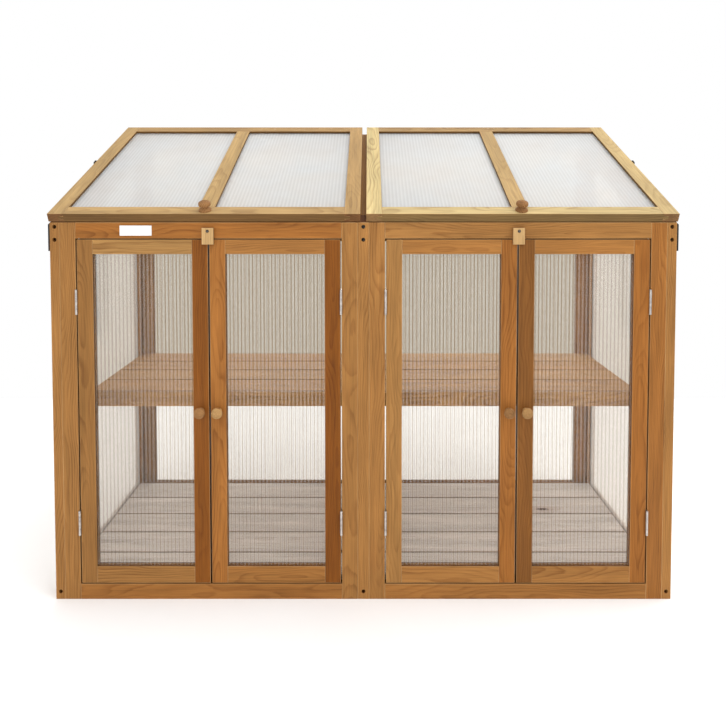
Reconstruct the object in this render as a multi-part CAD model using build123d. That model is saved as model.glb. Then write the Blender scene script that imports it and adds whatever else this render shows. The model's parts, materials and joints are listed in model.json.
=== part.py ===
from build123d import *
import math
import os

# A double wooden cold frame: three side walls, two bays with a shelf and a floor, four glazed
# doors and two sloping glazed lids. Millimetres. X runs to the right, Y to the back and Z up.
# While it is built, the front faces stand at Y = 0. The last step moves the origin to the
# bottom centre of the whole.

# Driving dimensions
width = 1500.0              # over the two outer walls
depth = 596.0               # walls, front to back
front_height = 920.0        # walls at the front
lid_slope = 25.0            # degrees
lid_length = 610.0          # along the slope
lid_thickness = 21.0
lid_inner_edge = 7.0        # half the gap between the two lids
lid_side_overhang = 1.5     # past each outer wall
lid_gap = 2.5               # between a lid and the walls under it, across the slope
outer_wall = 23.0
middle_wall = 28.0

# Boards, grooves and panes
board = 38.0                # face width of posts, stiles and most rails
wall_top_rail = 80.0        # face width of a wall's sloping rail
frame_thickness = 20.0
groove_width = 7.0
groove_depth = 13.0
pane_thickness = 5.0
pane_play = 1.0             # between a pane's edge and the bottom of its groove
muntin = 40.0               # middle bar of a lid

# Doors
door_thickness = 19.0
door_side_gap = 3.0
door_end_gap = 2.5
door_meeting_gap = 4.0
door_top_rail = 35.0
door_bottom_rail = 41.0
door_knob_height = 465.0

# Butt hinges, on doors and lids
hinge_length = 60.0
hinge_inset = 150.0         # from a door's end to the middle of its hinge
leaf_thickness = 1.2
leaf_reach = 18.0           # width of a door hinge's leaf, from the axis
knuckle_radius = 3.0
knuckle_stand_off = 0.3     # between a knuckle and the wood
pin_radius = 1.5
pin_clearance = 0.05
lid_hinge_inset = 130.0     # from a lid's side to the middle of its hinge
lid_leaf_reach = 23.0

# Shelf and floor
shelf_top = 466.0
shelf_front = 150.0
shelf_slats = 4
shelf_slat_thickness = 16.0
shelf_beam_height = 38.0
shelf_beam_thickness = 20.0
floor_slats = 5
floor_slat_thickness = 12.0
floor_back_space = 35.0     # left open behind the floor
slat_gap = 6.0
slat_end_play = 1.0
bearer = 20.0               # section of the floor's and the shelf's side bearers

# Fittings
stop_height = 20.0
stop_thickness = 15.0
stop_overlap = 8.0          # how far a door stop reaches below the top rail
button_width = 28.0
button_height = 40.0
button_thickness = 9.0
button_pivot_drop = 8.0     # from the button's top to its screw
button_overlap = 11.5       # how far the button reaches over the doors
fitting_gap = 0.5           # between a turning part and the wood behind it
plate_size = (76.0, 24.0, 1.0)
plate_centre = (-544.0, 901.0)
stay_length = 500.0
stay_width = 16.0
stay_thickness = 2.5
stay_pivot_along = 338.0    # from the lid's front edge
stay_stand_off = 5.8        # between the lid's side and the stay
stay_holes = 5
stay_hole_pitch = 36.0
catch_height = 68.0
catch_thickness = 4.5
catch_setback = 10.0        # from the front edge to the middle of the catch

# Worked out from the above
slope = math.radians(lid_slope)
half_width = width / 2
bay_width = half_width - outer_wall - middle_wall / 2
opening_width = bay_width - 2 * board
opening_bottom = board
opening_top = front_height - board
lid_foot = lid_length * math.cos(slope) - lid_gap * math.sin(slope)
back_height = front_height + lid_foot * math.tan(slope)
hinge_board_thickness = frame_thickness
back_frame_front = depth - frame_thickness
lid_width = half_width + lid_side_overhang - lid_inner_edge
door_width = (opening_width - 2 * door_side_gap - door_meeting_gap) / 2
door_height = opening_top - opening_bottom - 2 * door_end_gap
door_bottom = opening_bottom + door_end_gap
door_axis_y = -knuckle_radius - knuckle_stand_off
lid_axis_y = lid_foot + knuckle_radius + 2 * knuckle_stand_off
lid_axis_z = back_height + knuckle_radius + knuckle_stand_off
slat_length = bay_width - 2 * slat_end_play

# Each bay's low X edge, and each wall's low X edge and thickness
bays = {"left": -half_width + outer_wall, "right": middle_wall / 2}
walls = {
    "left": (-half_width, outer_wall),
    "middle": (-middle_wall / 2, middle_wall),
    "right": (half_width - outer_wall, outer_wall),
}

# The slope's own frame: X across, Z up the slope from the walls' front top edge, Y down into it
on_slope = Location((0, 0, front_height), (lid_slope - 90, 0, 0))


def block(x, y, z):
    """A box between the low and high value of each of X, Y and Z."""
    size = (x[1] - x[0], y[1] - y[0], z[1] - z[0])
    return Pos(x[0], y[0], z[0]) * Box(*size, align=(Align.MIN, Align.MIN, Align.MIN))


def side_prism(outline, low_x, thickness):
    """A board whose outline is given by its (Y, Z) corners, starting at low_x."""
    face = Plane.YZ * make_face(Polyline(*outline, close=True))
    return Pos(low_x, 0, 0) * extrude(face, thickness)


def turned(profile):
    """A solid of revolution about Z from (radius, height) corners, starting and ending on the axis."""
    return revolve(Plane.XZ * make_face(Polyline(*profile, close=True)), Axis.Z)


def rod(radius, length):
    """A cylinder along Z that starts at Z = 0."""
    return Cylinder(radius, length, align=(Align.CENTER, Align.CENTER, Align.MIN))


def along_y(shape):
    """Turn a shape built along Z so that it runs along +Y, into the wood from the front."""
    return Rot(-90, 0, 0) * shape


def along_x(shape):
    """Turn a shape built along Z so that it runs along +X."""
    return Rot(0, 90, 0) * shape


def split(low, high, count, gap):
    """The low and high edges of count equal boards between low and high."""
    size = (high - low - (count - 1) * gap) / count
    return [(low + i * (size + gap), low + i * (size + gap) + size) for i in range(count)]


def wall_top(y):
    """Height of a wall's top edge: it follows the lid, then runs level to the back."""
    return front_height + min(y, lid_foot) * math.tan(slope)


# Screws ---------------------------------------------------------------------------------------

screw_head = 4.2            # radii
screw_shank = 2.2
screw_hole_play = 0.1
counterbore = 4.8
counterbore_depth = 14.0
screw_head_height = 3.0
screw_head_edge = 0.6
rail_screw_length = 48.0
stile_screw_length = 36.0
stile_screw_sink = 8.0
screw_margin = 10.0         # from a post's top to its first screw
screw_spacing = 31.0        # to the next one
recess_depth = 1.6
recess_arm = 2.2
recess_width = 0.9


def screw(length):
    """A wood screw along Z: its head's face is at Z = 0 and it points up."""
    head = turned([
        (0, 0),
        (screw_head, 0),
        (screw_head, screw_head_edge),
        (screw_shank, screw_head_height),
        (0, screw_head_height),
    ])
    body = head + rod(screw_shank, length)
    for angle in (0, 90):
        slot = Box(2 * recess_arm, recess_width, 2 * recess_depth)
        body -= Rot(0, 0, angle) * slot
    return body


def screw_hole(length):
    """What a sunk screw takes out of the wood: a counterbore, then a hole that clears the screw."""
    bore = turned([
        (0, 0),
        (screw_head + screw_hole_play, 0),
        (screw_head + screw_hole_play, screw_head_edge + screw_hole_play),
        (screw_shank + screw_hole_play, screw_head_height + screw_hole_play),
        (screw_shank + screw_hole_play, length + screw_hole_play),
        (0, length + screw_hole_play),
    ])
    return bore + Pos(0, 0, -counterbore_depth) * rod(counterbore, counterbore_depth)


# A wall's own screws run front to back into the ends of its rails. The outer walls' others run
# across into the stiles of the front and back frames.
cross_screw_heights = (150.0, 520.0, 850.0)


def post_screws(post_height):
    """Heights of the screws that run into the ends of a wall's rails."""
    highest = post_height - screw_margin
    return (board / 2, highest - screw_spacing, highest)


def sunk_screws():
    """The place of every sunk screw's head and the screw's length, keyed by wall."""
    places = {}
    for side, (low_x, thickness) in walls.items():
        middle = low_x + thickness / 2
        forward = Location((middle, counterbore_depth, 0), (-90, 0, 0))
        backward = Location((middle, depth - counterbore_depth, 0), (90, 0, 0))
        places[side] = [(Pos(0, 0, z) * forward, rail_screw_length) for z in post_screws(front_height)]
        places[side] += [(Pos(0, 0, z) * backward, rail_screw_length) for z in post_screws(back_height)]
    for side, direction in (("left", 1), ("right", -1)):
        for y in (frame_thickness / 2, depth - frame_thickness / 2):
            for z in cross_screw_heights:
                head = (-direction * (half_width - stile_screw_sink), y, z)
                places[side].append((Location(head, (0, direction * 90, 0)), stile_screw_length))
    return places


screw_places = sunk_screws()


def drill(shape, sides):
    """Cut the sunk screws of the named walls out of a board."""
    for side in sides:
        for place, length in screw_places[side]:
            tool = place * screw_hole(length)
            if shape.bounding_box().overlaps(tool.bounding_box()):
                shape = shape - tool
    return shape


# Side walls -----------------------------------------------------------------------------------

def wall_glazing(inset, low_x, thickness):
    """A sheet that fills a wall's opening and reaches inset mm into the boards around it."""
    edge = board - inset
    drop = (wall_top_rail - inset) / math.cos(slope)
    low, high = edge, depth - edge
    outline = [(low, edge), (high, edge)]
    outline += [(y, front_height + y * math.tan(slope) - drop) for y in (high, low)]
    return side_prism(outline, low_x, thickness)


def side_wall(side):
    """Posts, rails and pane of one wall."""
    low_x, thickness = walls[side]
    inner, outer = board, depth - board
    drop = wall_top_rail / math.cos(slope)
    posts = []
    for low, high in ((0, inner), (outer, depth)):
        outline = [(low, 0), (high, 0), (high, wall_top(high)), (low, wall_top(low))]
        posts.append(side_prism(outline, low_x, thickness))
    top_edge = [(outer, back_height), (lid_foot, back_height), (inner, wall_top(inner))]
    under_edge = [(y, front_height + y * math.tan(slope) - drop) for y in (inner, outer)]
    rails = [
        block((low_x, low_x + thickness), (inner, outer), (0, board)),
        side_prism(under_edge + top_edge, low_x, thickness),
    ]
    groove = wall_glazing(groove_depth, low_x + (thickness - groove_width) / 2, groove_width)
    pane = wall_glazing(groove_depth - pane_play, low_x + (thickness - pane_thickness) / 2, pane_thickness)
    posts = [drill(post - groove, [side]) for post in posts]
    rails = [drill(rail - groove, [side]) for rail in rails]
    return posts, rails, pane


# Grooved and tongued frames: doors, lids and backs ---------------------------------------------

def glazed_frame(across, tall, thickness, bottom_rail, top_rail, bar=0.0):
    """Stiles, rails, optional middle bar and panes.

    The front face lies in XZ with its lower left corner at the origin. The stiles run the full
    height and are grooved from end to end, and the rails' tongues fill the groove's ends.
    """
    slot = ((thickness - groove_width) / 2, (thickness + groove_width) / 2)
    face = (0, thickness)
    inner = (board, across - board)
    tongue = (inner[0] - groove_depth, inner[1] + groove_depth)
    daylight = (bottom_rail, tall - top_rail)
    glazing = (daylight[0] - groove_depth, daylight[1] + groove_depth)

    stiles = [
        block((0, board), face, (0, tall)) - block((tongue[0], board), slot, (0, tall)),
        block((inner[1], across), face, (0, tall)) - block((inner[1], tongue[1]), slot, (0, tall)),
    ]
    rails = []
    for low, high in ((0, bottom_rail), (tall - top_rail, tall)):
        rail = block(inner, face, (low, high)) + block(tongue, slot, (low, high))
        rails.append(rail - block(tongue, slot, glazing))

    edges = [inner]
    if bar:
        middle = across / 2
        edges = [(inner[0], middle - bar / 2), (middle + bar / 2, inner[1])]
        upright = block((edges[0][1], edges[1][0]), face, daylight)
        upright += block((edges[0][1] + groove_depth, edges[1][0] - groove_depth), slot, glazing)
        for low, high in edges:
            upright -= block((low - groove_depth, high + groove_depth), slot, daylight)
        rails.append(upright)

    hold = groove_depth - pane_play
    sheet = ((thickness - pane_thickness) / 2, (thickness + pane_thickness) / 2)
    panes = []
    for low, high in edges:
        panes.append(block((low - hold, high + hold), sheet, (daylight[0] - hold, daylight[1] + hold)))
    return stiles, rails, panes


# Front frames ---------------------------------------------------------------------------------

tenon_length = 20.0
tenon_thickness = 7.0
tenon_shoulder = 6.0


def front_frame(low_x):
    """Four boards with mortise and tenon corners. The top edge is planed to the lid's slope."""
    high_x = low_x + bay_width
    back_edge = front_height + frame_thickness * math.tan(slope)
    inner = (low_x + board, high_x - board)
    slot = ((frame_thickness - tenon_thickness) / 2, (frame_thickness + tenon_thickness) / 2)
    sides = ((low_x, inner[0]), (inner[1], high_x))
    stiles = [block(x, (0, frame_thickness), (0, back_edge)) for x in sides]
    rails = []
    for low, high, tenon_top in ((0, board, board), (opening_top, back_edge, front_height)):
        rail = block(inner, (0, frame_thickness), (low, high))
        for x in ((inner[0] - tenon_length, inner[0]), (inner[1], inner[1] + tenon_length)):
            tenon = block(x, slot, (low + tenon_shoulder, tenon_top - tenon_shoulder))
            rail += tenon
            stiles = [stile - tenon for stile in stiles]
        rails.append(rail)
    above_slope = on_slope * block((low_x - 1, high_x + 1), (-board, 0), (-board, board))
    return [drill(piece - above_slope, ["left", "right"]) for piece in stiles + rails]


# Turned knobs, built along Z from the face they stand on ----------------------------------------

door_knob = {"base": 8.0, "waist": 6.0, "head": 13.0, "height": 27.0}     # radii and height
lid_knob = {"base": 15.0, "waist": 8.0, "head": 14.5, "height": 24.0}
spigot_radius = 4.0
spigot_length = 12.0
spigot_play = 0.1


def knob(base, waist, head, height):
    """A turned knob: spigot in the wood, round foot, waist and domed head."""
    foot = 0.16 * height
    neck = 0.45 * height
    brim = 0.68 * height
    tip = (0, -spigot_length)
    stem = Polyline(tip, (spigot_radius, -spigot_length), (spigot_radius, 0), (base, 0), (base, foot))
    hollow = ThreePointArc((base, foot), (0.85 * waist + 0.15 * base, 0.65 * neck), (waist, neck))
    under = ThreePointArc((waist, neck), (0.5 * (head + waist), 0.7 * neck + 0.3 * brim), (head, brim))
    rise = height - brim
    dome_radius = (head ** 2 + rise ** 2) / (2 * rise)
    halfway = math.asin(head / dome_radius) / 2
    shoulder = (dome_radius * math.sin(halfway), height - dome_radius * (1 - math.cos(halfway)))
    dome = ThreePointArc((head, brim), shoulder, (0, height))
    axis = Line((0, height), tip)
    outline = [edge for line in (stem, hollow, under, dome, axis) for edge in line.edges()]
    return revolve(Plane.XZ * make_face(outline), Axis.Z)


def knob_hole():
    """The blind hole for a knob's spigot, along Z from the face downwards."""
    return Pos(0, 0, -spigot_length - spigot_play) * rod(spigot_radius + spigot_play, spigot_length + 1)


# Butt hinges ----------------------------------------------------------------------------------

def hinge_leaf(reach, offset, knuckles, bore):
    """One leaf of a hinge whose pin is the Z axis, with the plate reaching along +Y.

    offset is the plate's low and high X. knuckles lists the low and high Z of its own barrels.
    """
    clear = knuckle_radius + knuckle_stand_off
    leaf = block(offset, (clear, reach), (0, hinge_length))
    for low, high in knuckles:
        leaf += block(offset, (0, clear), (low, high))
        leaf += Pos(0, 0, low) * rod(knuckle_radius, high - low)
    return leaf - Pos(0, 0, -1) * rod(bore, hinge_length + 2)


thread_fit = 0.01            # around pins and threads that sit tight
end_knuckle = 15.0
knuckle_gap = 0.5
outer_knuckles = [(0, end_knuckle), (hinge_length - end_knuckle, hinge_length)]
middle_knuckle = [(end_knuckle + knuckle_gap, hinge_length - end_knuckle - knuckle_gap)]
loose_bore = pin_radius + pin_clearance
tight_bore = pin_radius + thread_fit


def hinge_pin():
    """A headless pin that stops just short of the knuckles' ends."""
    return Pos(0, 0, 0.5) * rod(pin_radius, hinge_length - 1)


def door_hinge(side):
    """Fixed leaf, pin and moving leaf. side is -1 where the door lies to the right of the hinge."""
    near, far = door_side_gap / 2 - leaf_thickness, door_side_gap / 2
    fixed_offset = (near, far) if side > 0 else (-far, -near)
    moving_offset = (-far, -near) if side > 0 else (near, far)
    fixed = hinge_leaf(leaf_reach, fixed_offset, outer_knuckles, tight_bore)
    moving = hinge_leaf(leaf_reach, moving_offset, middle_knuckle, loose_bore)
    return fixed, hinge_pin(), moving


# Lid stays ------------------------------------------------------------------------------------

stay_pivot_radius = 3.0
stay_end_margin = 10.0
stay_washer_radius = 6.5
stay_head_radius = 5.5
stay_head_height = 3.0
stay_side_play = 0.4
stay_thread_radius = 2.5
stay_thread_length = 20.0
stay_hole_radius = 3.6


def lid_stay():
    """A flat bar in YZ that hangs from its pivot at the origin, from X = 0 outwards."""
    straight = stay_length - stay_width
    bar = block((0, stay_thickness), (-stay_width / 2, stay_width / 2), (-straight, 0))
    for z in (0, -straight):
        bar += Pos(0, 0, z) * along_x(rod(stay_width / 2, stay_thickness))
    bar -= Pos(-1, 0, 0) * along_x(rod(stay_pivot_radius + pin_clearance, stay_thickness + 2))
    for i in range(stay_holes):
        z = -straight + i * stay_hole_pitch
        bar -= Pos(-1, 0, z) * along_x(rod(stay_hole_radius, stay_thickness + 2))
    return bar


def stay_pivot():
    """A shoulder screw along Z, pointing out of the lid's side at Z = 0, with its thread in the wood."""
    washer = stay_stand_off - stay_side_play / 2
    head = stay_stand_off + stay_thickness + stay_side_play
    return turned([
        (0, -stay_thread_length),
        (stay_thread_radius, -stay_thread_length),
        (stay_thread_radius, 0),
        (stay_washer_radius, 0),
        (stay_washer_radius, washer),
        (stay_pivot_radius, washer),
        (stay_pivot_radius, head),
        (stay_head_radius, head),
        (stay_head_radius - 1, head + stay_head_height),
        (0, head + stay_head_height),
    ])


catch_peg_radius = 3.0
catch_width = 16.0


def stay_catch():
    """A plate on a wall's outer face, from X = 0 outwards, with a chamfered top and a peg for the stay."""
    outline = [
        (0, 0),
        (catch_thickness, 0),
        (catch_thickness, catch_height - catch_thickness),
        (0, catch_height),
    ]
    face = Plane.XZ * make_face(Polyline(*outline, close=True))
    plate = Pos(0, catch_width / 2, 0) * extrude(face, catch_width)
    stay_face = lid_side_overhang + stay_stand_off
    peg_reach = stay_face - 2 * stay_side_play
    return plate + Pos(0, 0, 0.6 * catch_height) * along_x(rod(catch_peg_radius, peg_reach))


# Assembly -------------------------------------------------------------------------------------

nodes = {}


def add(name, *pieces):
    """Add solids to a node, and create the node if it is new."""
    nodes.setdefault(name, []).extend(pieces)


for side in walls:
    posts, rails, pane = side_wall(side)
    add(f"{side}_wall_posts", *posts)
    add(f"{side}_wall_rails", *rails)
    add(f"{side}_wall_pane", pane)
    for place, length in screw_places[side]:
        add("assembly_screws", place * screw(length))


def build_bay(side, low_x):
    """Everything fixed inside one bay: front and back frames, hinge board, shelf, floor and stop."""
    high_x = low_x + bay_width
    middle = (low_x + high_x) / 2
    slats = (low_x + slat_end_play, high_x - slat_end_play)

    # Front frame, with a hole for the turn button's screw
    button_screw = Pos(middle, -button_thickness - fitting_gap, button_axis_z)
    boards = front_frame(low_x)
    hole = button_screw * along_y(rod(button_screw_radius + screw_hole_play, button_screw_length + 1))
    add(f"{side}_front_frame", *[piece - hole for piece in boards])
    add("turn_button_screws", button_screw * button_fixing())

    # Back frame and the board that carries the lid's hinges
    back_top = back_height - hinge_board_thickness
    stiles, rails, panes = glazed_frame(bay_width, back_top, frame_thickness, board, board)
    at_back = Pos(low_x, back_frame_front, 0)
    add(f"{side}_back_frame", *[drill(at_back * piece, ["left", "right"]) for piece in stiles + rails])
    add(f"{side}_back_pane", *[at_back * piece for piece in panes])
    add("hinge_boards", block((low_x, high_x), (lid_foot, depth), (back_top, back_height)))

    # Shelf: slats on side bearers and a back bearer, behind a deep front beam
    beam_back = shelf_front + shelf_beam_thickness
    under_slats = shelf_top - shelf_slat_thickness
    under_shelf = shelf_top - shelf_beam_height
    back_bearer = back_frame_front - bearer
    for y in split(beam_back, back_frame_front, shelf_slats, slat_gap):
        add(f"{side}_shelf_slats", block(slats, y, (under_slats, shelf_top)))
    add("shelf_bearers", block((low_x, high_x), (shelf_front, beam_back), (under_shelf, shelf_top)))
    bearer_z = (under_shelf, under_slats)
    add("shelf_bearers", block((low_x, high_x), (back_bearer, back_frame_front), bearer_z))
    for x in ((low_x, low_x + bearer), (high_x - bearer, high_x)):
        add("shelf_bearers", block(x, (beam_back, back_bearer), bearer_z))

    # Floor: slats on three bearers between the front and back frames
    floor_front = frame_thickness + door_end_gap / 2
    floor_back = back_frame_front - floor_back_space
    for y in split(floor_front, floor_back, floor_slats, slat_gap):
        add(f"{side}_floor_slats", block(slats, y, (board, board + floor_slat_thickness)))
    for x in (low_x, middle - bearer / 2, high_x - bearer):
        run = (frame_thickness, back_frame_front)
        add("floor_bearers", block((x, x + bearer), run, (board - bearer, board)))

    # Stop strip behind the top rail, which the doors close against
    stop_bottom = opening_top - stop_overlap
    stop = block(
        (low_x + board, high_x - board),
        (frame_thickness, frame_thickness + stop_thickness),
        (stop_bottom, stop_bottom + stop_height),
    )
    add("door_stops", stop)


# Turn button, and the screw that it turns on
button_screw_radius = 2.0
button_screw_length = 28.0
button_head_radius = 3.6
button_head_height = 1.8
button_bottom = opening_top - door_end_gap - button_overlap
button_axis_z = button_bottom + button_height - button_pivot_drop


def button_fixing():
    """A round-headed screw along +Y whose head stands just clear of the button's face."""
    head = turned([
        (0, -button_head_height - fitting_gap),
        (0.6 * button_head_radius, -button_head_height - fitting_gap),
        (button_head_radius, -0.4 * button_head_height - fitting_gap),
        (button_head_radius, -fitting_gap),
        (button_screw_radius, -fitting_gap),
        (button_screw_radius, button_screw_length),
        (0, button_screw_length),
    ])
    slot = Pos(0, 0, -button_head_height - fitting_gap) * Box(4 * button_head_radius, 0.8, 1.2)
    return along_y(head - slot)


def turn_button(middle):
    """A small wooden block that turns in front of the two doors' top corners."""
    block_x = (middle - button_width / 2, middle + button_width / 2)
    block_y = (-fitting_gap - button_thickness, -fitting_gap)
    piece = block(block_x, block_y, (button_bottom, button_bottom + button_height))
    bore = along_y(rod(button_screw_radius + pin_clearance, button_thickness + 2))
    return piece - Pos(middle, block_y[0] - 1, button_axis_z) * bore


def build_door(bay, low_x, hand):
    """One door and its two hinges. hand is 'left' for the door that hangs on the bay's left stile."""
    name = f"{bay}_bay_{hand}_door"
    stiles, rails, panes = glazed_frame(
        door_width, door_height, door_thickness, door_bottom_rail, door_top_rail
    )
    if hand == "left":
        door_x = low_x + board + door_side_gap
        axis_x = door_x - door_side_gap / 2
        knob_x = door_x + door_width - board / 2
    else:
        door_x = low_x + bay_width - board - door_side_gap - door_width
        axis_x = door_x + door_width + door_side_gap / 2
        knob_x = door_x + board / 2
    place = Pos(door_x, 0, door_bottom)
    knob_place = Location((knob_x, 0, door_knob_height), (90, 0, 0))
    add(f"{name}_frame", *[place * piece - knob_place * knob_hole() for piece in stiles + rails])
    add(f"{name}_pane", *[place * piece for piece in panes])
    add(f"{name}_knob", knob_place * knob(**door_knob))
    for middle_z in (door_bottom + hinge_inset, door_bottom + door_height - hinge_inset):
        at_hinge = Pos(axis_x, door_axis_y, middle_z - hinge_length / 2)
        fixed, pin, moving = door_hinge(-1 if hand == "left" else 1)
        add("door_hinge_fixed_leaves", at_hinge * fixed, at_hinge * pin)
        add(f"{name}_hinge_leaves", at_hinge * moving)


def build_lid(side, low_x):
    """One lid with its knob, hinges, stay and the stay's pivot."""
    stiles, rails, panes = glazed_frame(lid_width, lid_length, lid_thickness, board, board, muntin)
    lid_place = on_slope * Pos(low_x, -lid_gap - lid_thickness, 0)
    knob_place = lid_place * Location((lid_width / 2, 0, board / 2), (90, 0, 0))

    # The stay hangs on a shoulder screw in the lid's outer edge
    outward = -1 if side == "left" else 1
    outer_x = outward * (half_width + lid_side_overhang)
    pivot_point = on_slope * Pos(outer_x, -lid_gap - lid_thickness / 2, stay_pivot_along)
    pivot_y, pivot_z = pivot_point.position.Y, pivot_point.position.Z
    pivot_place = Location((outer_x, pivot_y, pivot_z), (0, outward * 90, 0))
    thread_hole = rod(stay_thread_radius + thread_fit, stay_thread_length + 1)
    thread_hole = Pos(0, 0, -stay_thread_length - 1) * thread_hole

    boards = [lid_place * piece - knob_place * knob_hole() for piece in stiles + rails]
    add(f"{side}_lid_frame", *[piece - pivot_place * thread_hole for piece in boards])
    add(f"{side}_lid_panes", *[lid_place * piece for piece in panes])
    add(f"{side}_lid_knob", knob_place * knob(**lid_knob))
    add(f"{side}_stay_pivot", pivot_place * stay_pivot())

    bar = Pos(stay_stand_off, 0, 0) * lid_stay()
    catch = stay_catch()
    if outward < 0:
        bar = mirror(bar, Plane.YZ)
        catch = mirror(catch, Plane.YZ)
    add(f"{side}_lid_stay", Pos(outer_x, pivot_y, pivot_z) * bar)
    add("stay_catches", Pos(outward * half_width, catch_setback, front_height - catch_height) * catch)

    # Hinges: one leaf lies on the hinge board, the other under the lid's back rail
    lies_back = (-knuckle_radius - knuckle_stand_off, leaf_thickness - knuckle_radius - knuckle_stand_off)
    under_lid = lid_axis_y * math.sin(slope) - (lid_axis_z - front_height) * math.cos(slope) + lid_gap
    rises = (-under_lid, leaf_thickness - under_lid)
    for middle_x in (low_x + lid_hinge_inset, low_x + lid_width - lid_hinge_inset):
        axis_start = Pos(middle_x - hinge_length / 2, lid_axis_y, lid_axis_z)
        fixed = hinge_leaf(lid_leaf_reach, (-lies_back[1], -lies_back[0]), outer_knuckles, tight_bore)
        moving = hinge_leaf(lid_leaf_reach, rises, middle_knuckle, loose_bore)
        moving = Rot(0, 0, 180 + lid_slope) * mirror(moving, Plane.YZ)
        add("lid_hinge_fixed_leaves", axis_start * along_x(fixed), axis_start * along_x(hinge_pin()))
        add(f"{side}_lid_hinge_leaves", axis_start * along_x(moving))


for side, low_x in bays.items():
    build_bay(side, low_x)
    add(f"{side}_turn_button", turn_button(low_x + bay_width / 2))
    for hand in ("left", "right"):
        build_door(side, low_x, hand)

build_lid("left", -half_width - lid_side_overhang)
build_lid("right", lid_inner_edge)

plate_x = (plate_centre[0] - plate_size[0] / 2, plate_centre[0] + plate_size[0] / 2)
plate_z = (plate_centre[1] - plate_size[1] / 2, plate_centre[1] + plate_size[1] / 2)
add("name_plate", block(plate_x, (-plate_size[2], 0), plate_z))

# The origin goes to the bottom centre of the whole: the door knobs reach furthest forward and
# the walls furthest back.
middle_y = (depth - door_knob["height"]) / 2

os.makedirs("parts", exist_ok=True)
for name, pieces in nodes.items():
    solids = [solid for piece in pieces for solid in (Pos(0, -middle_y, 0) * piece).solids()]
    export_step(Compound(solids), f"parts/{name}.step")
print(len(nodes), "nodes")
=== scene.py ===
"""Looks of a double wooden cold frame: stained fir boards, fluted twin-wall panes and fittings."""

import json
import math
import random

import bmesh
import bpy
from mathutils import Matrix, Vector

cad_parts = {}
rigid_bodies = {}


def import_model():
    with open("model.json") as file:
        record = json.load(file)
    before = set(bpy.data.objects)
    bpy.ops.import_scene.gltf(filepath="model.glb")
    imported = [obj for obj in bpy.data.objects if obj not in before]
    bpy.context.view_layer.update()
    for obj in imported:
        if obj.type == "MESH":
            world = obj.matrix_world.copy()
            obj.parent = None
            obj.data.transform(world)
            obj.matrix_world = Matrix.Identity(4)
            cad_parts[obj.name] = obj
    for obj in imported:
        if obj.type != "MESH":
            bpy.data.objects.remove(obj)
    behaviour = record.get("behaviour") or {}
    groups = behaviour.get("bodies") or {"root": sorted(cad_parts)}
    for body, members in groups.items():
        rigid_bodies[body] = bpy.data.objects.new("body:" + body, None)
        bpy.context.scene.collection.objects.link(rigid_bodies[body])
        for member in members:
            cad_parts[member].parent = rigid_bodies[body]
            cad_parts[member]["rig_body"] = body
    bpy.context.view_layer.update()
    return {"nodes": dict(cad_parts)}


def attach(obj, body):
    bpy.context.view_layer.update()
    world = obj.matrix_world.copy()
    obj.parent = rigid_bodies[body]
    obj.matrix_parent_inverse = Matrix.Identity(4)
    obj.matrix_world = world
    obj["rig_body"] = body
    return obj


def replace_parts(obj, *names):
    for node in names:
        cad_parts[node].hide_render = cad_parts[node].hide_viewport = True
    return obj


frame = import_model()
nodes = frame["nodes"]

# Metres, as in the CAD's frame
sideways, backward, upright = Vector((1, 0, 0)), Vector((0, 1, 0)), Vector((0, 0, 1))
lid_slope = math.radians(25)
up_slope = Vector((0, math.cos(lid_slope), math.sin(lid_slope)))
out_of_lid = Vector((0, -math.sin(lid_slope), math.cos(lid_slope)))
flute_pitch = 0.0092


# Node graphs ----------------------------------------------------------------------------------

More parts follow.
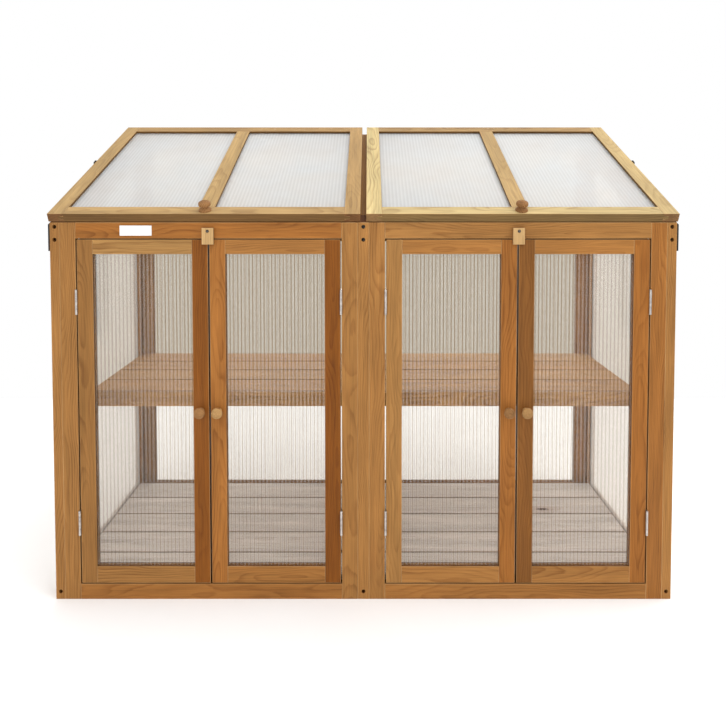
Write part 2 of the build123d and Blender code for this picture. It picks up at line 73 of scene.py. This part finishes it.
class Graph:
    """A material's node tree, with short calls for the nodes it is made of."""

    def __init__(self, name):
        self.material = bpy.data.materials.new(name)
        self.material.use_nodes = True
        self.tree = self.material.node_tree
        self.tree.nodes.clear()

    def add(self, kind, inputs, **settings):
        """A node whose inputs are set from numbers, colours or other nodes' outputs."""
        made = self.tree.nodes.new(kind)
        for key, value in settings.items():
            setattr(made, key, value)
        for key, value in inputs.items():
            if isinstance(value, bpy.types.NodeSocket):
                self.tree.links.new(value, made.inputs[key])
            else:
                made.inputs[key].default_value = value
        return made

    def math(self, operation, a, b=0.0, c=0.0, clamp=False):
        made = self.add("ShaderNodeMath", {0: a, 1: b, 2: c}, operation=operation, use_clamp=clamp)
        return made.outputs[0]

    def vector(self, operation, a, b=(0, 0, 0)):
        made = self.add("ShaderNodeVectorMath", {0: a, 1: b}, operation=operation)
        return made.outputs["Value" if operation == "LENGTH" else "Vector"]

    def noise(self, vector, scale, detail=3.0, roughness=0.5, output="Fac"):
        """Noise. scale is one number, or three for noise that is drawn out along an axis."""
        if isinstance(scale, tuple):
            vector, scale = self.vector("MULTIPLY", vector, scale), 1.0
        inputs = {"Vector": vector, "Scale": scale, "Detail": detail, "Roughness": roughness}
        return self.add("ShaderNodeTexNoise", inputs).outputs[output]

    def ramp(self, value, *stops):
        """Maps a value through (position, grey level or colour) stops."""
        made = self.add("ShaderNodeValToRGB", {"Fac": value})
        ramp = made.color_ramp
        while len(ramp.elements) < len(stops):
            ramp.elements.new(0.5)
        for element, (position, level) in zip(ramp.elements, stops):
            element.position = position
            element.color = (*level, 1) if isinstance(level, tuple) else (level, level, level, 1)
        return made.outputs["Color"]

    def mix(self, share, a, b, blend="MIX"):
        """Mixes two colours."""
        made = self.add("ShaderNodeMix", {0: share}, data_type="RGBA", blend_type=blend)
        for index, value in ((6, a), (7, b)):
            if isinstance(value, bpy.types.NodeSocket):
                self.tree.links.new(value, made.inputs[index])
            else:
                made.inputs[index].default_value = (*value, 1)
        return made.outputs[2]

    def shade(self, colour, by):
        """Multiplies two colours."""
        return self.mix(1.0, colour, by, "MULTIPLY")

    def blend_shaders(self, share, a, b):
        return self.add("ShaderNodeMixShader", {0: share, 1: a, 2: b}).outputs[0]

    def see_through(self, colour):
        return self.add("ShaderNodeBsdfTransparent", {"Color": colour}).outputs[0]

    def glow_through(self, colour):
        """Light from behind, scattered."""
        return self.add("ShaderNodeBsdfTranslucent", {"Color": (*colour, 1)}).outputs[0]

    def object_space(self):
        return self.add("ShaderNodeTexCoord", {}).outputs["Object"]

    def attribute(self, name, output):
        return self.add("ShaderNodeAttribute", {}, attribute_name=name).outputs[output]

    def bump(self, height, strength, distance):
        inputs = {"Height": height, "Strength": strength, "Distance": distance}
        return self.add("ShaderNodeBump", inputs).outputs["Normal"]

    def principled(self, inputs):
        return self.add("ShaderNodeBsdfPrincipled", inputs).outputs["BSDF"]

    def finish(self, shader):
        self.add("ShaderNodeOutputMaterial", {"Surface": shader})
        return self.material


# Wood -----------------------------------------------------------------------------------------

round_knot_brown = (0.24, 0.085, 0.022)
knot_brown = (0.075, 0.024, 0.009)
worn_arris = (0.62, 0.38, 0.17)

# These multiply the colour of the wood that they darken
latewood_shade = (0.5, 0.38, 0.28)
# Painted shade for narrow faces, standing for the shade in gaps and rebates
painted_shade_colour = (0.32, 0.24, 0.16)
end_tint = (1.0, 0.72, 0.6)


def knots(g, grain):
    """How near a knot is, and where its dark heart is.

    A few cells of a stretched pattern have a knot.
    """
    knot_share = 0.28
    stretched = g.vector("MULTIPLY", grain, (4.2, 10.5, 3.0))
    cells = g.add("ShaderNodeTexVoronoi", {"Vector": stretched, "Scale": 1.0})
    chance = g.add("ShaderNodeSeparateColor", {0: cells.outputs["Color"]}).outputs["Red"]
    chosen = g.math("GREATER_THAN", chance, 1 - knot_share)
    near = g.ramp(cells.outputs["Distance"], (0.0, 1.0), (0.34, 0.0))
    heart = g.ramp(cells.outputs["Distance"], (0.055, 1.0), (0.085, 0.0))
    return g.math("MULTIPLY", near, chosen), g.math("MULTIPLY", heart, chosen)


def latewood_rings(g, grain, near_knot, ring_spacing):
    """Rings about the log's middle, which wanders along the board. They bend round a knot."""
    wander = g.noise(grain, (2.6, 9.0, 9.0), detail=2.0, output="Color")
    wander = g.vector("MULTIPLY", g.vector("SUBTRACT", wander, (0.5, 0.5, 0.5)), (0, 0.075, 0.075))
    across = g.vector("MULTIPLY", g.vector("ADD", grain, wander), (0, 1, 1))
    radius = g.math("ADD", g.vector("LENGTH", across), g.math("MULTIPLY", near_knot, 0.012))
    fuzz = g.noise(grain, (30, 260, 260))
    rings = g.math("ADD", g.math("DIVIDE", radius, ring_spacing), g.math("MULTIPLY", fuzz, 0.35))
    return g.ramp(g.math("FRACT", rings), (0.0, 0.0), (0.45, 0.12), (0.86, 1.0), (0.97, 0.0))


def wood(name, dark, light, red, ring_spacing=0.0045, ring_contrast=1.0, end_shade=0.42):
    """Stained softwood, sawn from a log whose rings run round the grain attribute's X axis.

    The mesh brings 'grain' (metres along, across and through the board), 'tone' (how light, how
    red and how strongly figured the wood is), and from 0 to 1 'worn' for arrises, 'ends' for end
    grain and 'sides' for narrow faces, which are darkened there as painted shade.
    """
    g = Graph(name)
    grain = g.attribute("grain", "Vector")
    tone = g.add("ShaderNodeSeparateXYZ", {0: g.attribute("tone", "Vector")})
    lightness, redness, figure = tone.outputs["X"], tone.outputs["Y"], tone.outputs["Z"]
    near_knot, knot_heart = knots(g, grain)
    strength = g.math("MULTIPLY", g.math("MULTIPLY_ADD", figure, 0.75, 0.25), ring_contrast)
    latewood = g.math("MULTIPLY", latewood_rings(g, grain, near_knot, ring_spacing), strength)

    # Pores and streaks along the grain, and broad patches where the stain took differently
    pores = g.noise(grain, (14, 900, 900), detail=4.0)
    streaks = g.noise(grain, (4, 240, 240), detail=4.0, roughness=0.6)
    patches = g.noise(grain, (3.5, 34, 34), detail=4.0)

    base = g.mix(lightness, dark, light)
    base = g.mix(g.math("MULTIPLY", redness, 0.75), base, red)
    late_share = g.math("MULTIPLY", latewood, g.ramp(patches, (0.25, 0.95), (0.75, 0.4)))
    colour = g.mix(late_share, base, g.shade(base, latewood_shade))
    colour = g.shade(colour, g.ramp(streaks, (0.32, 0.87), (0.6, 1.06)))
    colour = g.shade(colour, g.ramp(patches, (0.3, 0.86), (0.7, 1.12)))
    colour = g.shade(colour, g.ramp(pores, (0.3, 0.8), (0.62, 1.08)))
    colour = g.mix(g.math("MULTIPLY", near_knot, 0.5), colour, round_knot_brown)
    colour = g.mix(knot_heart, colour, knot_brown)
    rubbed = g.ramp(patches, (0.35, 0.15), (0.65, 0.7))
    colour = g.mix(g.math("MULTIPLY", g.attribute("worn", "Fac"), rubbed), colour, worn_arris)
    # Painted shade: narrow faces are darkened to stand for the shade in the gaps round doors, at the
    # panes' rebates and on the lids' front edges
    colour = g.mix(g.attribute("sides", "Fac"), colour, g.shade(colour, painted_shade_colour))
    end_colour = tuple(end_shade * channel for channel in end_tint)
    colour = g.mix(g.attribute("ends", "Fac"), colour, g.shade(colour, end_colour))

    height = g.math("ADD", g.math("MULTIPLY", latewood, 0.6), g.math("MULTIPLY", pores, 0.8))
    coarse = g.math("MULTIPLY_ADD", latewood, -0.2, g.math("MULTIPLY", pores, 0.6))
    return g.finish(g.principled({
        "Base Color": colour,
        "Roughness": g.ramp(coarse, (0.15, 0.46), (0.55, 0.68)),
        "Specular IOR Level": 0.13,
        "Normal": g.bump(height, 0.55, 0.0004),
    }))


honey_wood = wood("honey_wood", (0.14, 0.045, 0.005), (0.45, 0.248, 0.082), (0.36, 0.112, 0.012))
# A lighter copy of the honey wood for the lid frames: painted light, for the lids' tops, which face
# the light from above
fair_wood = wood("fair_wood", (0.14, 0.045, 0.005), (0.61, 0.485, 0.23), (0.42, 0.16, 0.03))
grey_wood = wood("grey_wood", (0.6, 0.56, 0.53), (0.76, 0.71, 0.67), (0.64, 0.58, 0.54),
                 ring_contrast=0.4)
pale_wood = wood("pale_wood", (0.42, 0.24, 0.09), (0.56, 0.37, 0.17), (0.45, 0.25, 0.09),
                 ring_spacing=0.003, ring_contrast=0.5)
turned_wood = wood("turned_wood", (0.2, 0.085, 0.028), (0.6, 0.37, 0.15), (0.3, 0.12, 0.04),
                   ring_spacing=0.0024, ring_contrast=0.9, end_shade=0.8)


# Metal and plastic ----------------------------------------------------------------------------

def zinc_steel():
    """Bright zinc-plated steel, faintly brushed and clouded."""
    g = Graph("zinc_steel")
    space = g.object_space()
    brushing = g.noise(space, (900, 900, 60))
    cloud = g.noise(space, 140.0, detail=4.0)
    return g.finish(g.principled({
        "Base Color": g.ramp(cloud, (0.3, (0.36, 0.33, 0.31)), (0.7, (0.62, 0.585, 0.55))),
        "Metallic": 1.0,
        "Roughness": g.ramp(brushing, (0.3, 0.28), (0.7, 0.45)),
        "Normal": g.bump(brushing, 0.2, 0.0002),
    }))


def dark_screw_steel():
    """Screw heads sunk in the wood, dulled."""
    g = Graph("dark_screw_steel")
    tarnish = g.noise(g.object_space(), 420.0, detail=4.0)
    return g.finish(g.principled({
        "Base Color": g.ramp(tarnish, (0.35, (0.03, 0.028, 0.026)), (0.7, (0.16, 0.14, 0.12))),
        "Metallic": 0.9,
        "Roughness": g.ramp(tarnish, (0.3, 0.65), (0.7, 0.4)),
        "Normal": g.bump(tarnish, 0.3, 0.0002),
    }))


def black_coated_steel():
    """Powder coat with fine orange peel and a few rubbed places."""
    g = Graph("black_coated_steel")
    space = g.object_space()
    peel = g.noise(space, 900.0, detail=2.0)
    rubbed = g.ramp(g.noise(space, 60.0, detail=6.0, roughness=0.7), (0.66, 0.0), (0.74, 1.0))
    return g.finish(g.principled({
        "Base Color": g.mix(rubbed, (0.009, 0.009, 0.01), (0.05, 0.048, 0.046)),
        "Roughness": g.ramp(peel, (0.3, 0.5), (0.7, 0.65)),
        "Specular IOR Level": 0.25,
        "Normal": g.bump(peel, 0.35, 0.0003),
    }))


def plate_plastic():
    """Smooth white plastic with a little dust."""
    g = Graph("plate_plastic")
    space = g.object_space()
    dust = g.noise(space, 55.0, detail=5.0)
    grain = g.noise(space, 1500.0, detail=2.0)
    return g.finish(g.principled({
        "Base Color": g.ramp(dust, (0.35, (0.78, 0.79, 0.8)), (0.65, (0.9, 0.9, 0.9))),
        "Roughness": g.ramp(dust, (0.3, 0.25), (0.7, 0.4)),
        "Normal": g.bump(grain, 0.1, 0.0001),
        "Coat Weight": 0.3,
    }))


dusty_plastic = (0.93, 0.92, 0.9)

# How much light a skin lets through
between_lines = (0.965, 0.962, 0.955)
in_line = (0.85, 0.83, 0.8)


def twin_wall_plastic(name, across, least_haze, most_haze, plastic):
    """Clear fluted sheet. across is the object axis that counts the flutes.

    A flute's skins scatter light in its middle, and the walls between flutes show as darker
    lines. A slanting look passes through more plastic and sees more haze.
    """
    g = Graph(name)
    place = g.add("ShaderNodeSeparateXYZ", {0: g.object_space()}).outputs[across]
    turn = g.math("MULTIPLY", place, 2 * math.pi / flute_pitch)
    wave = g.math("MULTIPLY_ADD", g.math("COSINE", turn), 0.5, 0.5)
    smear = g.noise(g.object_space(), 7.0, detail=4.0)
    haze = g.ramp(wave, (0.3, most_haze), (0.62, least_haze))
    haze = g.math("MULTIPLY", haze, g.ramp(smear, (0.3, 0.88), (0.7, 1.12)))
    slant = g.add("ShaderNodeLayerWeight", {"Blend": 0.5}).outputs["Facing"]
    haze = g.math("MULTIPLY_ADD", g.math("POWER", slant, 2.2), 0.6, haze, clamp=True)
    skin = g.principled({
        "Base Color": g.mix(g.ramp(smear, (0.3, 1.0), (0.7, 0.0)), plastic, dusty_plastic),
        "Roughness": g.ramp(smear, (0.3, 0.1), (0.7, 0.22)),
        "Specular IOR Level": 0.5,
        "Normal": g.bump(wave, 0.12, 0.0006),
    })
    body = g.blend_shaders(0.55, skin, g.glow_through(plastic))
    line = g.ramp(wave, (0.72, between_lines), (0.98, in_line))
    return g.finish(g.blend_shaders(haze, g.see_through(line), body))


def rib_plastic():
    """The walls between the flutes, which hardly scatter."""
    g = Graph("rib_plastic")
    streaks = g.noise(g.object_space(), (40, 40, 6))
    skin = g.principled({
        "Base Color": g.ramp(streaks, (0.3, (0.8, 0.77, 0.7)), (0.7, (0.92, 0.89, 0.83))),
        "Roughness": g.ramp(streaks, (0.3, 0.15), (0.7, 0.3)),
    })
    body = g.blend_shaders(0.5, skin, g.glow_through((0.92, 0.9, 0.86)))
    return g.finish(g.blend_shaders(0.05, g.see_through((0.98, 0.97, 0.96, 1)), body))


steel = zinc_steel()
screw_steel = dark_screw_steel()
black_steel = black_coated_steel()
white_plastic = plate_plastic()
upright_sheet = twin_wall_plastic("upright_sheet", "X", 0.01, 0.13, (0.9, 0.87, 0.82))
wall_sheet = twin_wall_plastic("wall_sheet", "Y", 0.06, 0.18, (0.96, 0.95, 0.93))
lid_sheet = twin_wall_plastic("lid_sheet", "X", 0.42, 0.5, (0.8, 0.84, 0.865))
ribs_plastic = rib_plastic()


# Boards ---------------------------------------------------------------------------------------

def solids(node):
    """The faces of each separate solid of a CAD node, as lists of corner points.

    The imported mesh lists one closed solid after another, so a solid is whole once each edge met
    so far has been met twice.
    """
    mesh = nodes[node].data
    found, faces, open_edges = [], [], set()
    for polygon in mesh.polygons:
        corners = [tuple(round(c, 6) for c in mesh.vertices[i].co) for i in polygon.vertices]
        faces.append(corners)
        for a, b in zip(corners, corners[1:] + corners[:1]):
            if a != b:
                open_edges ^= {frozenset((a, b))}
        if not open_edges:
            found.append(faces)
            faces = []
    return found


def extent(points, direction):
    reach = [Vector(p).dot(direction) for p in points]
    return max(reach) - min(reach)


def grain_axes(points):
    """Directions along, across and through a board, from the set of axes that fits it closest."""
    def volume(axes):
        return math.prod(extent(points, direction) for direction in axes)

    fitting = min(((sideways, backward, upright), (sideways, up_slope, out_of_lid)), key=volume)
    return sorted(fitting, key=lambda direction: -extent(points, direction))


def clean_board(faces, arris):
    """One solid as a bmesh with flat faces joined up and its long arrises broken.

    Returns it with the set of faces that lie on the arrises.
    """
    bm = bmesh.new()
    corners = {}
    for face in faces:
        ring = []
        for point in face:
            if point not in corners:
                corners[point] = bm.verts.new(point)
            if corners[point] not in ring:
                ring.append(corners[point])
        if len(ring) > 2 and bm.faces.get(ring) is None:
            bm.faces.new(ring)
    bmesh.ops.dissolve_limit(bm, angle_limit=math.radians(1), verts=bm.verts, edges=bm.edges)
    long_edges = [e for e in bm.edges if e.is_manifold and e.calc_length() > 8 * arris]
    sharp = [e for e in long_edges if e.calc_face_angle() > 0.5]
    bevel = bmesh.ops.bevel(bm, geom=sharp, offset=arris, segments=2, profile=0.5, affect="EDGES")
    return bm, set(bevel["faces"])


def wooden(node, material, tones=(), arris=0.0009, painted_shade_amount=0.5):
    """Makes the boards that stand for a CAD node.

    tones gives each board's (lightness, redness), painted_shade_amount how much painted shade
    darkens its narrow faces.
    """
    rng = random.Random(node)
    points, faces = [], []
    on_points = {"grain": [], "tone": []}
    on_faces = {"worn": [], "ends": [], "sides": []}
    for index, solid in enumerate(solids(node)):
        bm, arrises = clean_board(solid, arris)
        along, across, through = grain_axes([v.co for v in bm.verts])
        middle = sum((v.co for v in bm.verts), Vector()) / len(bm.verts)
        pith = Vector((rng.uniform(0, 9), rng.uniform(-0.03, 0.03), rng.uniform(0.02, 0.06)))
        if index < len(tones):
            look = tones[index]
        else:
            look = (rng.uniform(0.35, 0.75), rng.uniform(0.1, 0.7))
        first = len(points)
        for vertex in bm.verts:
            vertex.index = len(points) - first
            offset = vertex.co - middle
            place = Vector((offset.dot(along), offset.dot(across), offset.dot(through)))
            points.append(vertex.co.copy())
            on_points["grain"].append(place + pith)
            on_points["tone"].append((*look, rng.random()))
        for face in bm.faces:
            faces.append([first + v.index for v in face.verts])
            is_end = abs(face.normal.dot(along)) > 0.8
            is_side = abs(face.normal.dot(across)) > 0.8
            on_faces["worn"].append(1.0 if face in arrises else 0.0)
            on_faces["ends"].append(1.0 if is_end else 0.0)
            # Narrow faces carry the amount of painted shade
            on_faces["sides"].append(painted_shade_amount if is_side else 0.0)
        bm.free()
    mesh = bpy.data.meshes.new(f"{node}_boards")
    mesh.from_pydata(points, [], faces)
    for name, values in on_points.items():
        flat = [number for value in values for number in value]
        mesh.attributes.new(name, "FLOAT_VECTOR", "POINT").data.foreach_set("vector", flat)
    for name, values in on_faces.items():
        mesh.attributes.new(name, "FLOAT", "FACE").data.foreach_set("value", values)
    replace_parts(add_piece(f"{node}_boards", mesh, material, node), node)


def add_piece(name, mesh, material, node):
    """Makes an object that rides on the body of the CAD node it belongs to."""
    mesh.materials.append(material)
    piece = bpy.data.objects.new(name, mesh)
    bpy.context.scene.collection.objects.link(piece)
    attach(piece, nodes[node]["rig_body"])
    return piece


# (lightness, redness) of each board. A frame's are its left stile, right stile, bottom rail, top
# rail and middle bar. A shelf's slats run from front to back.
board_tones = {
    "left_bay_left_door_frame": ((0.42, 0.1), (0.02, 0.4), (0.55, 0.2), (0.75, 0.0)),
    "left_bay_right_door_frame": ((0.55, 0.75), (0.0, 0.4), (0.5, 0.4), (0.65, 0.5)),
    "right_bay_left_door_frame": ((0.62, 0.15), (0.4, 0.7), (0.65, 0.4), (0.62, 0.5)),
    "right_bay_right_door_frame": ((0.15, 0.1), (0.35, 0.7), (0.65, 0.4), (0.62, 0.5)),
    "left_front_frame": ((0.62, 0.3), (0.6, 0.3), (0.45, 0.5), (0.42, 0.7)),
    "right_front_frame": ((0.62, 0.35), (0.45, 0.6), (0.52, 0.45), (0.62, 0.3)),
    "left_shelf_slats": ((1.0, 0.3), (0.95, 0.15), (1.0, 0.25), (0.9, 0.3)),
    "right_shelf_slats": ((0.9, 0.25), (1.0, 0.2), (0.95, 0.3), (1.0, 0.15)),
    "shelf_bearers": 8 * ((1.0, 0.2),),
    "left_lid_frame": ((0.54, 0.25), (0.47, 0.3), (0.55, 0.3), (0.42, 0.25), (0.55, 0.25)),
    "right_lid_frame": ((0.85, 0.0), (0.67, 0.1), (0.75, 0.05), (0.38, 0.15), (0.52, 0.2)),
}
for side in ("left", "right"):
    for group in ("front_frame", "back_frame", "shelf_slats"):
        node = f"{side}_{group}"
        wooden(node, honey_wood, board_tones.get(node, ()))
    wooden(f"{side}_floor_slats", grey_wood)
    wooden(f"{side}_turn_button", pale_wood, ((0.6, 0.1),), arris=0.0012)
    for hand in ("left", "right"):
        node = f"{side}_bay_{hand}_door_frame"
        # Door frames get strong painted shade on their narrow faces
        wooden(node, honey_wood, board_tones[node], painted_shade_amount=0.85)
    node = f"{side}_lid_frame"
    # Lid frames get the lighter lid wood, which is painted light for their lit tops, and strong
    # painted shade on their narrow faces
    wooden(node, fair_wood, board_tones[node], painted_shade_amount=0.9)
for wall in ("left", "middle", "right"):
    for group in ("posts", "rails"):
        wooden(f"{wall}_wall_{group}", honey_wood, ((0.62, 0.3), (0.6, 0.25)), painted_shade_amount=0)
for node in ("hinge_boards", "shelf_bearers", "floor_bearers", "door_stops"):
    wooden(node, honey_wood, board_tones.get(node, ()))


# Panes ----------------------------------------------------------------------------------------

rib_thickness = 0.0005
skin_thickness = 0.0004


def crossings(lines, along, across, at):
    """Where lines pass the given place across the sheet, as places along it."""
    found = []
    for a, b in lines:
        start, end = a.dot(across) - at, b.dot(across) - at
        if start * end < 0:
            found.append((a + (b - a) * start / (start - end)).dot(along))
    return found


def ribs(node, along, across):
    """The walls between a sheet's flutes, one thin strip every flute pitch.

    Each runs between the two places where its line crosses the outline of the sheet.
    """
    through = along.cross(across).normalized()
    bm = bmesh.new()
    for solid in solids(node):
        lines = [(Vector(a), Vector(b)) for face in solid for a, b in zip(face, face[1:] + face[:1])]
        depth = [p.dot(through) for line in lines for p in line]
        side = [p.dot(across) for line in lines for p in line]
        low, high = min(depth) + skin_thickness, max(depth) - skin_thickness
        for number in range(math.ceil(min(side) / flute_pitch), math.ceil(max(side) / flute_pitch)):
            at = number * flute_pitch
            reach = crossings(lines, along, across, at)
            if not reach:
                continue
            corners = [
                along * u + across * v + through * w
                for u in (min(reach), max(reach))
                for v in (at - rib_thickness / 2, at + rib_thickness / 2)
                for w in (low, high)
            ]
            made = [bm.verts.new(corner) for corner in corners]
            for side_face in ((0, 1, 5, 4), (3, 2, 6, 7), (0, 4, 6, 2), (1, 3, 7, 5)):
                bm.faces.new([made[i] for i in side_face])
    mesh = bpy.data.meshes.new(f"{node}_ribs")
    bm.to_mesh(mesh)
    bm.free()
    add_piece(f"{node}_ribs", mesh, ribs_plastic, node)


def paint(node, material):
    """Gives a carried-over CAD node its material."""
    mesh = nodes[node].data
    mesh.materials.clear()
    mesh.materials.append(material)


def glaze(node, material, along, across):
    """Gives a sheet its plastic and the ribs inside it."""
    paint(node, material)
    ribs(node, along, across)


for side in ("left", "right"):
    glaze(f"{side}_back_pane", upright_sheet, upright, sideways)
    glaze(f"{side}_lid_panes", lid_sheet, up_slope, sideways)
    for hand in ("left", "right"):
        glaze(f"{side}_bay_{hand}_door_pane", upright_sheet, upright, sideways)
for wall in ("left", "middle", "right"):
    glaze(f"{wall}_wall_pane", wall_sheet, upright, backward)


# Turned knobs ---------------------------------------------------------------------------------

# The face's edge, its two turned rings and its dimple, as shares of the knob's radius and height
face_outline = (
    (0.99, 0.79), (0.95, 0.86), (0.88, 0.9), (0.8, 0.925), (0.76, 0.9), (0.72, 0.935), (0.55, 0.965),
    (0.51, 0.94), (0.47, 0.972), (0.3, 0.99), (0.2, 0.995), (0.13, 0.97), (0.05, 0.95), (0.0, 0.945),
)
waist_steps = 5
head_steps = 6
knob_segments = 48


def knob_outline(head, foot, waist, height):
    """(radius, height) points from the foot over the waist to the middle of the face."""
    points = [(foot, 0), (foot, 0.1 * height), (0.96 * foot, 0.15 * height)]
    for step in range(1, waist_steps + 1):
        share = step / waist_steps
        radius = waist + (foot - waist) * (1 - share) ** 2
        points.append((radius, (0.15 + 0.3 * share) * height))
    for step in range(1, head_steps + 1):
        angle = step / head_steps * math.pi / 2
        radius = waist + (head - waist) * math.sin(angle)
        points.append((radius, (0.68 - 0.23 * math.cos(angle)) * height))
    return points + [(radius * head, rise * height) for radius, rise in face_outline]


def turned_shape(outline):
    """A bmesh turned round Z, closed at the outline's last point and open at its foot."""
    bm = bmesh.new()
    angles = [2 * math.pi * i / knob_segments for i in range(knob_segments)]
    rings = []
    for radius, rise in outline[:-1]:
        circle = [(radius * math.cos(a), radius * math.sin(a), rise) for a in angles]
        rings.append([bm.verts.new(point) for point in circle])
    centre = bm.verts.new((0, 0, outline[-1][1]))
    for i in range(knob_segments):
        j = (i + 1) % knob_segments
        for lower, upper in zip(rings, rings[1:]):
            bm.faces.new((lower[i], lower[j], upper[j], upper[i]))
        bm.faces.new((rings[-1][i], rings[-1][j], centre))
    for face in bm.faces:
        face.smooth = True
    return bm


def turned_knob(node, axis, head, foot, waist, height, look):
    """A turned knob on the CAD knob's axis. Its tip is the CAD node's furthest point along the axis.

    look is (lightness, redness, figure). The figure also sets how many metres along its wood the
    knob was turned.
    """
    tip = max((v.co for v in nodes[node].data.vertices), key=lambda p: p.dot(axis))
    bm = turned_shape(knob_outline(head, foot, waist, height))
    mesh = bpy.data.meshes.new(f"{node}_turned")
    bm.to_mesh(mesh)
    bm.free()
    grain = mesh.attributes.new("grain", "FLOAT_VECTOR", "POINT")
    tone = mesh.attributes.new("tone", "FLOAT_VECTOR", "POINT")
    for i, vertex in enumerate(mesh.vertices):
        local = vertex.co
        grain.data[i].vector = (local.z + look[2], local.x + 0.011, local.y + 0.02)
        tone.data[i].vector = look
    turn = axis.to_track_quat("Z", "Y").to_matrix()
    mesh.transform(Matrix.Translation(tip - axis * height) @ turn.to_4x4())
    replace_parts(add_piece(f"{node}_turned", mesh, turned_wood, node), node)


door_knob = {"head": 0.013, "foot": 0.008, "waist": 0.006, "height": 0.027}
lid_knob = {"head": 0.0145, "foot": 0.015, "waist": 0.008, "height": 0.024}
knob_looks = {
    "left_bay_left_door_knob": (0.3, 0.3, 1.0),
    "left_bay_right_door_knob": (0.85, 0.0, 2.0),
    "right_bay_left_door_knob": (0.4, 0.3, 3.0),
    "right_bay_right_door_knob": (0.75, 0.0, 4.0),
    "left_lid_knob": (0.45, 0.4, 5.0),
    "right_lid_knob": (0.4, 0.45, 6.0),
}
for node, look in knob_looks.items():
    if "lid" in node:
        turned_knob(node, out_of_lid, look=look, **lid_knob)
    else:
        turned_knob(node, -backward, look=look, **door_knob)


# Fittings -------------------------------------------------------------------------------------

for node in nodes:
    if "hinge" in node and node != "hinge_boards":
        paint(node, steel)
    if "stay" in node:
        paint(node, black_steel)
for node in ("assembly_screws", "turn_button_screws"):
    paint(node, screw_steel)
paint("name_plate", white_plastic)


# Studio ---------------------------------------------------------------------------------------

paper_reach = 9
paper_end = 1.3
wall_behind = (0.525, 0.465, 0.375, 1)


def studio_floor():
    """A pale paper floor. It ends a little way behind the object, where the studio's wall begins."""
    bm = bmesh.new()
    wide = paper_reach
    corners = ((-wide, -wide), (wide, -wide), (wide, paper_end), (-wide, paper_end))
    bm.faces.new([bm.verts.new((x, y, 0)) for x, y in corners])
    mesh = bpy.data.meshes.new("studio_floor")
    bm.to_mesh(mesh)
    bm.free()
    g = Graph("studio_paper")
    fibre = g.noise(g.object_space(), 3.0, detail=4.0)
    paper = g.principled({"Base Color": g.ramp(fibre, (0.3, 0.92), (0.7, 0.95)), "Roughness": 0.9})
    mesh.materials.append(g.finish(paper))
    floor = bpy.data.objects.new("studio_floor", mesh)
    bpy.context.scene.collection.objects.link(floor)


def studio_world():
    """White all round, but what shows through the panes is a beige-grey studio wall."""
    world = bpy.data.worlds.new("studio_world")
    world.use_nodes = True
    tree = world.node_tree
    path = tree.nodes.new("ShaderNodeLightPath")
    behind_pane = tree.nodes.new("ShaderNodeMath")
    behind_pane.operation = "MINIMUM"
    tree.links.new(path.outputs["Is Camera Ray"], behind_pane.inputs[0])
    tree.links.new(path.outputs["Transparent Depth"], behind_pane.inputs[1])
    colour = tree.nodes.new("ShaderNodeMix")
    colour.data_type = "RGBA"
    tree.links.new(behind_pane.outputs[0], colour.inputs[0])
    colour.inputs[6].default_value = (1, 1, 1, 1)
    colour.inputs[7].default_value = wall_behind
    tree.links.new(colour.outputs[2], tree.nodes["Background"].inputs["Color"])
    tree.nodes["Background"].inputs["Strength"].default_value = 1.0
    bpy.context.scene.world = world


def softbox(name, place, aim, size, power, spread=180, colour=(1, 1, 1)):
    """A rectangular light, with size in metres, power in watts and spread in degrees."""
    light = bpy.data.lights.new(name, "AREA")
    light.color = colour
    light.spread = math.radians(spread)
    light.shape = "RECTANGLE"
    light.size, light.size_y = size
    light.energy = power
    lamp = bpy.data.objects.new(name, light)
    lamp.location = place
    lamp.rotation_euler = (Vector(aim) - Vector(place)).to_track_quat("-Z", "Y").to_euler()
    bpy.context.scene.collection.objects.link(lamp)


studio_floor()
studio_world()
softbox("top_softbox", (1.9, -0.4, 4.0), (0.3, 0, 0.6), (4.0, 4.0), 117)
softbox("front_softbox", (-1.2, -4.6, 2.4), (0, 0, 0.5), (3.0, 2.2), 48)
softbox("rear_softbox", (0.0, 2.6, 1.95), (0, 0, 0.5), (4.6, 0.8), 7, spread=40,
        colour=(1, 0.91, 0.81))


# Camera ---------------------------------------------------------------------------------------

# Close to the front, a little above the walls' height and tipped slightly down
camera_place = (0.0124, -1.8863, 0.992)
camera_tip = math.radians(2.23)

camera_data = bpy.data.cameras.new("camera")
camera_data.sensor_width = 36.0
camera_data.lens = 33.29
camera_data.shift_x = -0.0076
camera_data.shift_y = -0.1989
camera = bpy.data.objects.new("camera", camera_data)
camera.location = camera_place
camera.rotation_euler = (math.pi / 2 - camera_tip, 0, 0)

scene = bpy.context.scene
scene.collection.objects.link(camera)
scene.camera = camera
scene.view_settings.view_transform = "Standard"
scene.cycles.transparent_max_bounces = 32
